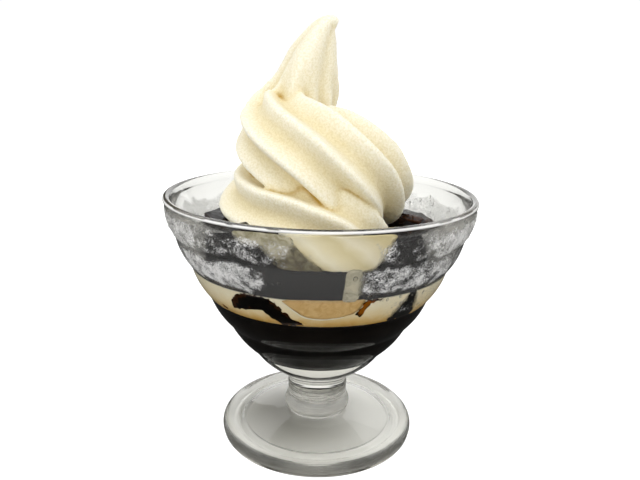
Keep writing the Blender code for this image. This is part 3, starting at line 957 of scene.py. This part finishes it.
def softServeMaterial():
    # Soft-serve ice cream, extruded through a star nozzle: matt and creamy, and a little light goes
    # through it. Ice crystals, drawn coarser than they are so that they show, give a dry grain.
    # Hollows are painted deeper in colour and ridges paler: painted shade in the creases and painted
    # light on the crests, set by the shape.
    surface, tree, shader, place = startMaterial("vanillaSoftServe", {
        "Roughness": 0.6,
        "IOR": 1.35,
        "Specular IOR Level": 0.35,
        "Subsurface Weight": 0.25,
        "Subsurface Radius": (1.0, 0.9, 0.72),
        "Subsurface Scale": 3.0 * mm,
    })
    grain = addNode(tree, "TexNoise", {"Scale": 1 / (0.7 * mm), "Detail": 2.0, "Roughness": 0.6},
                    {"Vector": place})
    cloud = addNode(tree, "TexNoise", {"Scale": 1 / (12 * mm), "Detail": 2.0}, {"Vector": place})
    hollow = addNode(tree, "Attribute", {"attribute_name": "hollow"})
    mixed = addNode(tree, "Math", {"operation": "MULTIPLY_ADD", 1: 0.12},
                    {0: cloud, 2: hollow.outputs["Fac"]})
    tone = addNode(tree, "ValToRGB", {"stops": [
        (0.15, "#f8f3e2"), (0.45, "#f4edd6"), (0.75, "#e9ddb8"), (1.0, "#bf9c4c")]}, {0: mixed})
    crystals = addNode(tree, "ValToRGB", {"stops": [(0.36, "#f2efe2"), (0.62, "#ffffff")]}, {0: grain})
    grainy = addNode(tree, "MixRGB", {"blend_type": "MULTIPLY", "Fac": 1.0},
                     {"Color1": tone, "Color2": crystals})
    relief = addNode(tree, "Bump", {"Strength": 0.8, "Distance": 0.3 * mm}, {"Height": grain})
    setNode(shader, None, {"Base Color": grainy, "Normal": relief})
    return surface


def settle(piece):
    # makes the modifiers part of the mesh
    seen = piece.evaluated_get(bpy.context.evaluated_depsgraph_get())
    mesh = bpy.data.meshes.new_from_object(seen)
    old = piece.data
    piece.modifiers.clear()
    piece.data = mesh
    bpy.data.meshes.remove(old)


def smoothOut(piece, turns, group=""):
    smooth = piece.modifiers.new("smooth", "SMOOTH")
    smooth.vertex_group = group
    smooth.iterations = turns
    smooth.factor = 0.5
    settle(piece)


def makeSoftServe():
    mesh = ropeMesh()
    x, wide, narrow, high = [part * mm for part in swirl["core"]]
    low = swirlSeat - swirl["coreSink"]
    with editing(mesh) as shape:
        core = bmesh.ops.create_cone(shape, cap_ends=True, segments=64, radius1=wide, radius2=narrow,
                                     depth=high - low)
        bmesh.ops.translate(shape, verts=core["verts"], vec=(x, 0, (low + high) / 2))
    piece = addPiece("softServe", mesh, softServeMaterial(), "soft_serve", "soft_serve")
    remesh = piece.modifiers.new("unite", "REMESH")
    remesh.mode = "VOXEL"
    remesh.voxel_size = swirl["voxel"]
    remesh.use_smooth_shade = True
    smoothOut(piece, swirl["relaxTurns"])

    # the peak melts into the coil under it
    centre, reach = Vector(swirl["blend"][:3]) * mm, swirl["blend"][3] * mm
    soft = piece.vertex_groups.new(name="blend")
    for v in piece.data.vertices:
        apart = (v.co - centre).length
        if apart < reach:
            soft.add([v.index], 1 - smoothStep(0.5 * reach, reach, apart), "REPLACE")
    smoothOut(piece, swirl["meltTurns"], "blend")
    piece.vertex_groups.clear()

    # cut off where it stands on the jelly
    mesh = piece.data
    with editing(mesh) as shape:
        bmesh.ops.bisect_plane(shape, geom=shape.verts[:] + shape.edges[:] + shape.faces[:],
                               plane_co=(0, 0, swirlSeat), plane_no=(0, 0, -1), clear_outer=True)
        rim = [e for e in shape.edges if e.is_boundary]
        bmesh.ops.holes_fill(shape, edges=rim, sides=0)
        shape.normal_update()

    # how far each point lies below or above the same surface smoothed out, in mm
    even = addObject("evened", mesh.copy())
    smoothOut(even, swirl["evenTurns"])
    hollows = [(b.co - a.co).dot(a.normal) / mm for a, b in zip(mesh.vertices, even.data.vertices)]
    bpy.data.objects.remove(even)
    moves = [v.normal * noise.noise(v.co / swirl["grainScale"]) * swirl["grain"] for v in mesh.vertices]
    for v, move in zip(mesh.vertices, moves):
        if v.co.z > swirlSeat + 0.1 * mm:
            v.co += move
    # the depth sets the painted shade in the hollows and the painted light on the ridges
    depths = [swirl["hollowStart"] + swirl["hollowGain"] * h for h in hollows]
    writeAttribute(mesh, "hollow", [min(1.0, max(0.0, depth)) for depth in depths])
    mesh.shade_smooth()
    print("soft-serve faces:", len(mesh.polygons))


# Dew on the glass

dew = {
    "seed": 11,
    "count": 900,
    "smallest": 0.22 * mm,
    "largest": 0.85 * mm,
    "flat": 0.45,
    "heights": (66, 98),             # mm
    "lipInset": 0.3 * mm,
    "bulgeShare": 0.9,               # so that the beads sit a little into the wall
    "stretch": (0.8, 1.35),
}


def dewMaterial():
    # Water beads: clear, with a sharp highlight.
    return startMaterial("waterBeads", {
        "Base Color": "#f2f2f0",
        "Roughness": 0.02,
        "IOR": 1.33,
        "Transmission Weight": 1.0,
    })[0]


def outerWall(height):
    # radius of the stepped outside at a height
    top = glassTop - bowl["firstCrease"]
    if height > top:
        low = (bowlRadius(top), top)
        high = (rimRadius - dew["lipInset"], glassTop - 1.5 * bowl["lipThickness"])
    else:
        step = int((top - height) / bowl["stepHeight"])
        crease = top - step * bowl["stepHeight"]
        low = (bowlRadius(crease - bowl["stepHeight"]), crease - bowl["stepHeight"])
        high = (bowlRadius(crease), crease)
    t = (height - low[1]) / (high[1] - low[1])
    return low[0] + (high[0] - low[0]) * t + bowl["stepBulge"] * 4 * t * (1 - t) * dew["bulgeShare"]


def makeDew():
    rng = random.Random(dew["seed"])
    ball = bmesh.new()
    bmesh.ops.create_icosphere(ball, subdivisions=2, radius=1)
    base = [v.co.copy() for v in ball.verts]
    ballFaces = [tuple(v.index for v in f.verts) for f in ball.faces]
    ball.free()
    places, faces = [], []
    made = 0
    while made < dew["count"]:
        degrees = rng.uniform(-180, 180)
        height = rng.uniform(*dew["heights"]) * mm
        pick = rng.random()
        spot = onRing(degrees, 1.0, height)
        if pick > bloomAt((spot.x, spot.y, height)):
            continue
        size = dew["smallest"] + (dew["largest"] - dew["smallest"]) * rng.random() ** 3
        slope = (outerWall(height + 0.5 * mm) - outerWall(height - 0.5 * mm)) / mm
        out = onRing(degrees, 1.0, -slope).normalized()
        around = Vector((0, 0, 1)).cross(out).normalized()
        up = out.cross(around)
        centre = onRing(degrees, outerWall(height), height)
        stretch = rng.uniform(*dew["stretch"])
        start = len(places)
        for p in base:
            places.append(centre + (around * p.x + up * p.y * stretch + out * p.z * dew["flat"]) * size)
        faces += [tuple(start + i for i in f) for f in ballFaces]
        made += 1
    addPiece("dewBeads", meshFrom(places, faces), dewMaterial(), "glass")


# Floor, light and camera

studio = {
    "floorRadius": 6.0,
    "floorDrop": 0.0001,
    "floorColour": "#e6e6e6",
    "sheetGlow": 0.8,                # makes the sheet read white where it is seen directly
    "backdrop": 1.03,                # and this the room behind it
    "mirrorSheet": "#252524",        # the sheet as shiny surfaces mirror it
    "mirrorEarlier": 0.7,            # share of that in a view mirrored before it went through glass
    "glassRoom": 2.05,               # how much brighter the room looks through the glass
    "glassSheet": "#fafaf9",         # the sheet as it looks through the glass
    "paintedStemShadow": "#5b5748",         # and a painted shadow on it round the stem, where the bowl would shade it
    "shadePlace": (-0.012, 0.003, 0.0),
    "shadeReach": 0.036,
    "lampsAim": (0, 0, 0.09),
}
# how bright the room is: axis, from where to where it changes, and its strength there
roomShares = {
    "rise": ("Z", 0.26, 0.85, 1.1, 0.88),
    "lean": ("X", -0.9, 0.9, 1.04, 1.0),         # a little brighter on the left
    "depth": ("Y", -0.9, 0.9, 1.15, 0.62),       # dimmer at the back
    "mirrored": ("Z", 0.35, 0.85, 0.08, 3.0),    # what shiny surfaces mirror of sides and ceiling
}
# place, width and power
lamps = {
    "keyLight": ((0.12, -0.50, 0.95), 0.8, 2.5),
    "fillLight": ((-0.7, -0.35, 0.55), 0.6, 0.8),
    "rimLight": ((0.12, 0.85, 0.33), 0.9, 2.8),
}
view = {
    "place": (0, -0.2413, 0.1502),
    "down": 15.84,                   # degrees
    "roll": 1.12,
    "sensor": 36,
    "lens": 35.55,
}


def floorMaterial():
    # Opal sheet: matt and pale. Its glow is only for the direct view, and in mirrored views it is
    # dark, so that it reads white while the black jelly stays black behind its glass. Through the
    # glass it is white too, with a painted soft brown shadow round the stem.
    surface, tree, shader, place = startMaterial("opalSheet", {
        "Roughness": 0.9,
        "Specular IOR Level": 0.1,
        "Emission Color": studio["floorColour"],
    })
    mottle = addNode(tree, "TexNoise", {"Scale": 1 / (2 * mm), "Detail": 2.0}, {"Vector": place})
    tone = addNode(tree, "ValToRGB",
                   {"stops": [(0.3, "#e0e0e0"), (0.7, studio["floorColour"])]}, {0: mottle})
    path = addNode(tree, "LightPath")
    glow = addNode(tree, "Math", {"operation": "MULTIPLY", 1: studio["sheetGlow"]},
                   {0: path.outputs["Is Camera Ray"]})
    apart = addNode(tree, "VectorMath", {"operation": "DISTANCE", 1: studio["shadePlace"]}, {0: place})
    shade = addNode(tree, "MapRange", {"interpolation_type": "SMOOTHSTEP", "To Min": 1.0, "To Max": 0.0,
                                       "From Max": studio["shadeReach"]}, {0: apart.outputs["Value"]})
    under = addNode(tree, "MixRGB",
                    {"Color1": studio["glassSheet"], "Color2": studio["paintedStemShadow"]}, {"Fac": shade})
    through = addNode(tree, "MixRGB", None,
                      {"Fac": path.outputs["Is Transmission Ray"], "Color1": tone, "Color2": under})
    shown = addNode(tree, "MixRGB", {"Color2": studio["mirrorSheet"]},
                    {"Fac": mirrorShare(tree, path), "Color1": through})
    setNode(shader, None, {"Base Color": shown, "Emission Strength": glow})
    return surface


def mirrorShare(tree, path):
    # 1 for a ray that was last mirrored, less for one that was mirrored before it went through
    # glass, 0 for one that never was
    last = addNode(tree, "Math", {"operation": "SUBTRACT", "use_clamp": True},
                   {0: path.outputs["Is Glossy Ray"], 1: path.outputs["Is Transmission Ray"]})
    earlier = addNode(tree, "MapRange", {"To Max": studio["mirrorEarlier"]},
                      {0: path.outputs["Glossy Depth"]})
    return addNode(tree, "Math", {"operation": "MAXIMUM"}, {0: last, 1: earlier})


def addLight(name, place, size, power):
    lamp = bpy.data.lights.new(name, "AREA")
    lamp.shape = "DISK"
    lamp.size = size
    lamp.energy = power
    light = addObject(name, lamp)
    light.location = place
    light.visible_camera = False
    light.visible_transmission = False
    aim = Vector(studio["lampsAim"]) - Vector(place)
    light.rotation_euler = aim.to_track_quat("-Z", "Y").to_euler()


def makeStudio():
    mesh = bpy.data.meshes.new("floor")
    with editing(mesh) as shape:
        bmesh.ops.create_circle(shape, cap_ends=True, segments=96, radius=studio["floorRadius"])
    mesh.materials.append(floorMaterial())
    floor = addObject("floor", mesh)
    floor.location.z = -studio["floorDrop"]

    world = bpy.data.worlds.new("softStudio")
    world.use_nodes = True
    tree = world.node_tree
    way = addNode(tree, "TexCoord").outputs["Generated"]
    split = addNode(tree, "SeparateXYZ", None, {0: way})
    shares = {}
    for name, (axis, first, last, start, end) in roomShares.items():
        shares[name] = addNode(tree, "MapRange",
                               {"interpolation_type": "SMOOTHSTEP" if axis == "Z" else "LINEAR",
                                "From Min": first, "From Max": last, "To Min": start, "To Max": end},
                               {0: split.outputs[axis]})
    sides = addNode(tree, "Math", {"operation": "MULTIPLY"}, {0: shares["lean"], 1: shares["depth"]})
    strength = addNode(tree, "Math", {"operation": "MULTIPLY"}, {0: shares["rise"], 1: sides})
    path = addNode(tree, "LightPath")
    boost = addNode(tree, "MapRange", {"To Min": 1.0, "To Max": studio["glassRoom"]},
                    {0: path.outputs["Is Transmission Ray"]})
    behind = addNode(tree, "Math", {"operation": "MULTIPLY"}, {0: strength, 1: boost})
    room = addNode(tree, "Mix", {"data_type": "FLOAT"},
                   {"Factor": mirrorShare(tree, path), "A": behind, "B": shares["mirrored"]})
    shown = addNode(tree, "Mix", {"data_type": "FLOAT", "B": studio["backdrop"]},
                    {"Factor": path.outputs["Is Camera Ray"], "A": room})
    setNode(tree.nodes["Background"], {"Color": "#ffffff"}, {"Strength": shown})
    bpy.context.scene.world = world
    for name, settings in lamps.items():
        addLight(name, *settings)


def makeCamera():
    lens = bpy.data.cameras.new("camera")
    lens.sensor_width = view["sensor"]
    lens.lens = view["lens"]
    eye = addObject("camera", lens)
    tilt = Euler((math.radians(90 - view["down"]), 0, 0)).to_matrix().to_4x4()
    roll = Matrix.Rotation(math.radians(view["roll"]), 4, "Z")
    eye.matrix_world = Matrix.Translation(view["place"]) @ tilt @ roll
    bpy.context.scene.camera = eye


makeCamera()
makeStudio()
bpy.context.scene.view_settings.view_transform = "Standard"
print("studio ready")
makeGlass()
print("glass turned")
makeJellyBase()
makeCreamLayer()
makeWallPieces()
print("layers poured")
makeHeap()
print("jelly heaped")
makeSoftServe()
print("swirl piped")
makeDew()
print("dew settled")

bpy.context.view_layer.update()
